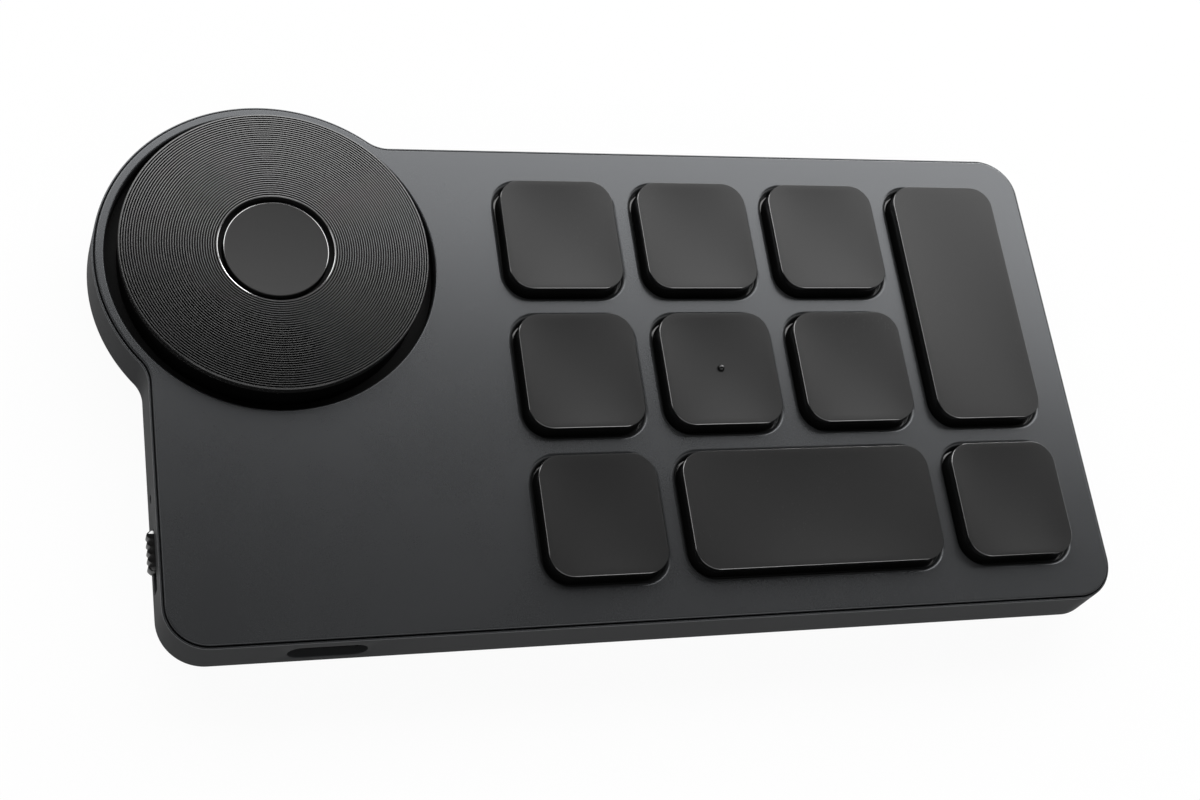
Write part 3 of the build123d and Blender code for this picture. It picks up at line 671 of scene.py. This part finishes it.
def makeButton():
    low, high = nodeBox("centre_button")
    radius, top, edge, around = (high[1] - low[1]) / 2, high[2], button["edge"], button["around"]
    foot, brink = nodeBox("inner_frame")[1][2] - button["into"], (radius, top - button["drop"])
    # a turned side from the foot to the cut edge
    side = [(button["footFlat"], foot), (radius, foot), brink]
    side = turned(dialCentre, softCorners(side, [button["footSoft"]], button["softSteps"]), around)
    cut = turned(dialCentre, [brink, (radius - edge, top)], around)
    # the top is a shallow bowl: sunk by dish * (1 - (r / R)^2)
    r = np.linspace(radius - edge, button["middle"], button["bowlRings"])
    bowl = turned(dialCentre, np.stack([r, top - button["dish"] * (1 - (r / r[0]) ** 2)], 1), around)
    # the cut edge takes the brighter metallic second finish, a painted glint round the button
    parts = [strip(side), strip(cut, second), strip(bowl), fan(bowl[-1], [*dialCentre, bowl[-1, 0, 2]])]
    parts.append(fan(side[0], [*dialCentre, foot], flip=True))
    makePiece("button_cap", parts, [buttonFinish, glintEdgeFinish], "centre_button",
              ["centre_button"], sharp=button["sharp"])


def makeWell():
    # a thin cup turned about the dial's middle: wall, floor with a hole, and back up on the outside
    inner, hole = dialRadius + plate["wellGap"] + well["play"], dial["wheelBore"] + well["boreGap"]
    outer, top, foot = inner + well["thick"], plateUnder - well["drop"], well["foot"]
    under = foot - well["floorThick"]
    section = [(inner, top), (inner, foot), (hole, foot), (hole, under), (outer, under), (outer, top)]
    rings = turned(dialCentre, section + section[:1], well["around"])
    makePiece("well_liner", [strip(rings)], [wellFinish], "housing")


makeDial()
makeWheel()
makeButton()
makeWell()
print("dial ready")


# Slider

slider = {
    "ribs": 5, "ribDepth": 0.34, "flange": 0.8, "soft": 0.18, "perRib": 9, "cornerSteps": 6,
    "endSlope": 0.3, "endDrop": 0.10,               # sloped cut at both ends of the top, in a brighter metallic colour: painted glints that still follow the lamps
}


def makeSlider():
    low, high = thumbLow, thumbHigh
    y0, y1 = low[1] + slider["flange"], high[1] - slider["flange"]
    z0, z1 = low[2] + slider["flange"], high[2] - slider["flange"]
    # along the grip the outer face is a row of half-round ribs: depth * |sin(pi * ribs * u)|,
    # and the top slopes down by endDrop over the last endSlope of each end
    u = np.linspace(0, 1, slider["ribs"] * slider["perRib"] + 1)
    y = y0 + (y1 - y0) * u
    face = low[0] + slider["ribDepth"] * (1 - np.abs(np.sin(np.pi * slider["ribs"] * u)))
    slope = np.clip(1 - np.minimum(y - y0, y1 - y) / slider["endSlope"], 0, 1)
    top = z1 - slider["endDrop"] * slope
    size = np.stack([high[0] - face, top - z0], 1)
    middle = np.stack([(high[0] + face) / 2, (top + z0) / 2], 1)
    whole = 2                                       # side of the unit section and step along it
    unit, _ = boxPath(np.zeros(2), (whole, whole), slider["soft"], slider["cornerSteps"], whole)
    section = middle[:, None] + unit[None] * size[:, None] / whole
    along = np.broadcast_to(y[:, None, None], section.shape[:2] + (1,))
    rings = np.concatenate([section[..., :1], along, section[..., 1:]], 2)
    # the sloped ends of the top take the brighter metallic second finish: painted glints
    cut = np.zeros((len(u) - 1, len(unit)), int)
    topColumn = 3 * slider["cornerSteps"] - 1       # the run after the third corner is the top
    cut[:, topColumn] = (slope[1:] + slope[:-1]) > 0
    parts = [strip(rings, cut.ravel())]
    for ring, way in ((rings[0], False), (rings[-1], True)):
        parts.append(fan(ring, ring.mean(0), flip=way))
    finishes = [gripFinish, glintEdgeFinish]
    makePiece("slider_grip", parts, finishes, "slider", ["power_slider"])


makeSlider()
print("slider ready")


# Finishes of the CAD pieces that stay as they are

inside = {
    "inner_frame": wellFinish,
    "main_board": grained("boardMask", grey=0.04, rough=0.40, tint=(0.3, 1.5, 0.6)),
    "battery": grained("batteryFoil", grey=0.40, rough=0.40, metal=0.8),
    "battery_tape": grained("foamTape", grey=0.55, rough=0.80),
    "light_pipe": grained("clearPipe", grey=0.65, rough=0.15),
    "status_led": grained("ledWhite", grey=0.65, rough=0.25),
    "usb_shell": portFinish,
    "radio_module": steelFinish,
    "encoder_magnets": steelFinish,
}
switchFinish = grained("switchBlack", grey=0.013, rough=0.45)
plungerFinish = grained("plungerWhite", grey=0.60, rough=0.40)
for name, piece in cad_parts.items():
    finish = inside.get(name, plungerFinish if "plunger" in name else switchFinish)
    if not piece.hide_render:
        piece.data.materials.clear()
        piece.data.materials.append(finish)
print("inside finished")


# Stage: floor, lights, camera

stage = {
    "floorSize": 4.0, "floorDrop": 0.00005,         # metres
    "floorWhite": 0.95, "floorDark": 0.78, "floorLight": 0.82, "floorCloud": 8, "cloudDetail": 3,
    "dim": 0.08,                                    # the world's own light
    "lampDistance": 1.0,                            # metres
    "eye": (-70.945, -87.431, 200.786),             # mm
    "right": (0.9503, -0.1403, 0.2780), "down": (-0.0190, -0.9172, -0.3979),
    "lens": 57.81, "sensor": 36, "clip": (0.01, 20),
}
lights = {                                          # direction, size in metres, watts, roll in degrees
    "backPanel": ((0.180, 0.726, 0.664), (2.4, 0.68), 23.5, 4),
    "rightGlint": ((0.596, 0.791, 0.139), (0.50, 0.20), 4.4, 0),
    "frontFill": ((-0.10, -0.75, 0.65), (1.60, 0.80), 3.1, 0),
    "frontEdge": ((0.40, -0.67, 0.62), (0.36, 0.26), 0.60, 0),
    "leftEdge": ((-0.68, 0.35, 0.64), (0.36, 0.26), 0.60, 0),
}
white = (1, 1, 1, 1)


def makeFloor():                                    # a square that looks white and keeps a faint shadow
    made = Finish("paleFloor")
    cloud = made.noise(stage["floorCloud"], stage["cloudDetail"])
    tone = made.blend(cloud, [stage["floorDark"]] * 3, [stage["floorLight"]] * 3)
    lit = made.node("ShaderNodeBsdfDiffuse", {"Color": tone})
    glow = made.node("ShaderNodeEmission", {"Color": white, "Strength": 1.0})
    share = (made.ray("Camera") + made.ray("Glossy") + made.ray("Transmission")) * stage["floorWhite"]
    finish = made.surface(made.node("ShaderNodeMixShader", {0: share, 1: lit, 2: glow}))
    mesh = bpy.data.meshes.new("floor")
    half, low = stage["floorSize"] / 2, -stage["floorDrop"]
    corners = [(-half, -half, low), (half, -half, low), (half, half, low), (-half, half, low)]
    mesh.from_pydata(corners, [], [(0, 1, 2, 3)])
    mesh.materials.append(finish)
    floor = bpy.data.objects.new("floor", mesh)
    bpy.context.scene.collection.objects.link(floor)


def makeWorld():                                    # dim all round, white to the camera
    made = Finish("studio", bpy.data.worlds)
    level = stage["dim"] + (1 - stage["dim"]) * made.ray("Camera")
    sky = made.node("ShaderNodeBackground", {"Color": white, "Strength": level})
    bpy.context.scene.world = made.surface(sky, "ShaderNodeOutputWorld")


def makeLights():                                   # each lamp faces the object
    for name, (way, size, watts, roll) in lights.items():
        lamp = bpy.data.lights.new(name, "AREA")
        lamp.shape, lamp.size, lamp.size_y, lamp.energy = "RECTANGLE", *size, watts
        holder = bpy.data.objects.new(name, lamp)
        back = np.array(way) / np.linalg.norm(way)
        side = np.cross((0, 0, 1), back)
        side /= np.linalg.norm(side)
        turn = Matrix(np.stack([side, np.cross(back, side), back], 1).tolist()).to_4x4()
        place = Matrix.Translation(back * stage["lampDistance"])
        holder.matrix_world = place @ turn @ Matrix.Rotation(np.radians(roll), 4, "Z")
        holder.visible_camera = False
        bpy.context.scene.collection.objects.link(holder)


def makeCamera():                                   # eye and picture directions were fitted to the photo
    view = bpy.data.cameras.new("photoView")
    view.lens, view.sensor_width, view.sensor_fit = stage["lens"], stage["sensor"], "HORIZONTAL"
    view.clip_start, view.clip_end = stage["clip"]
    right, up = np.array(stage["right"]), -np.array(stage["down"])
    right /= np.linalg.norm(right)
    up -= right * (up @ right)
    up /= np.linalg.norm(up)
    turn = np.stack([right, up, np.cross(right, up)], 1)
    holder = bpy.data.objects.new("photoView", view)
    place = Matrix.Translation(np.array(stage["eye"]) * mm)
    holder.matrix_world = place @ Matrix(turn.tolist()).to_4x4()
    bpy.context.scene.collection.objects.link(holder)
    bpy.context.scene.camera = holder


makeFloor()
makeWorld()
makeLights()
makeCamera()
bpy.context.scene.view_settings.view_transform = "Standard"
print("stage ready")
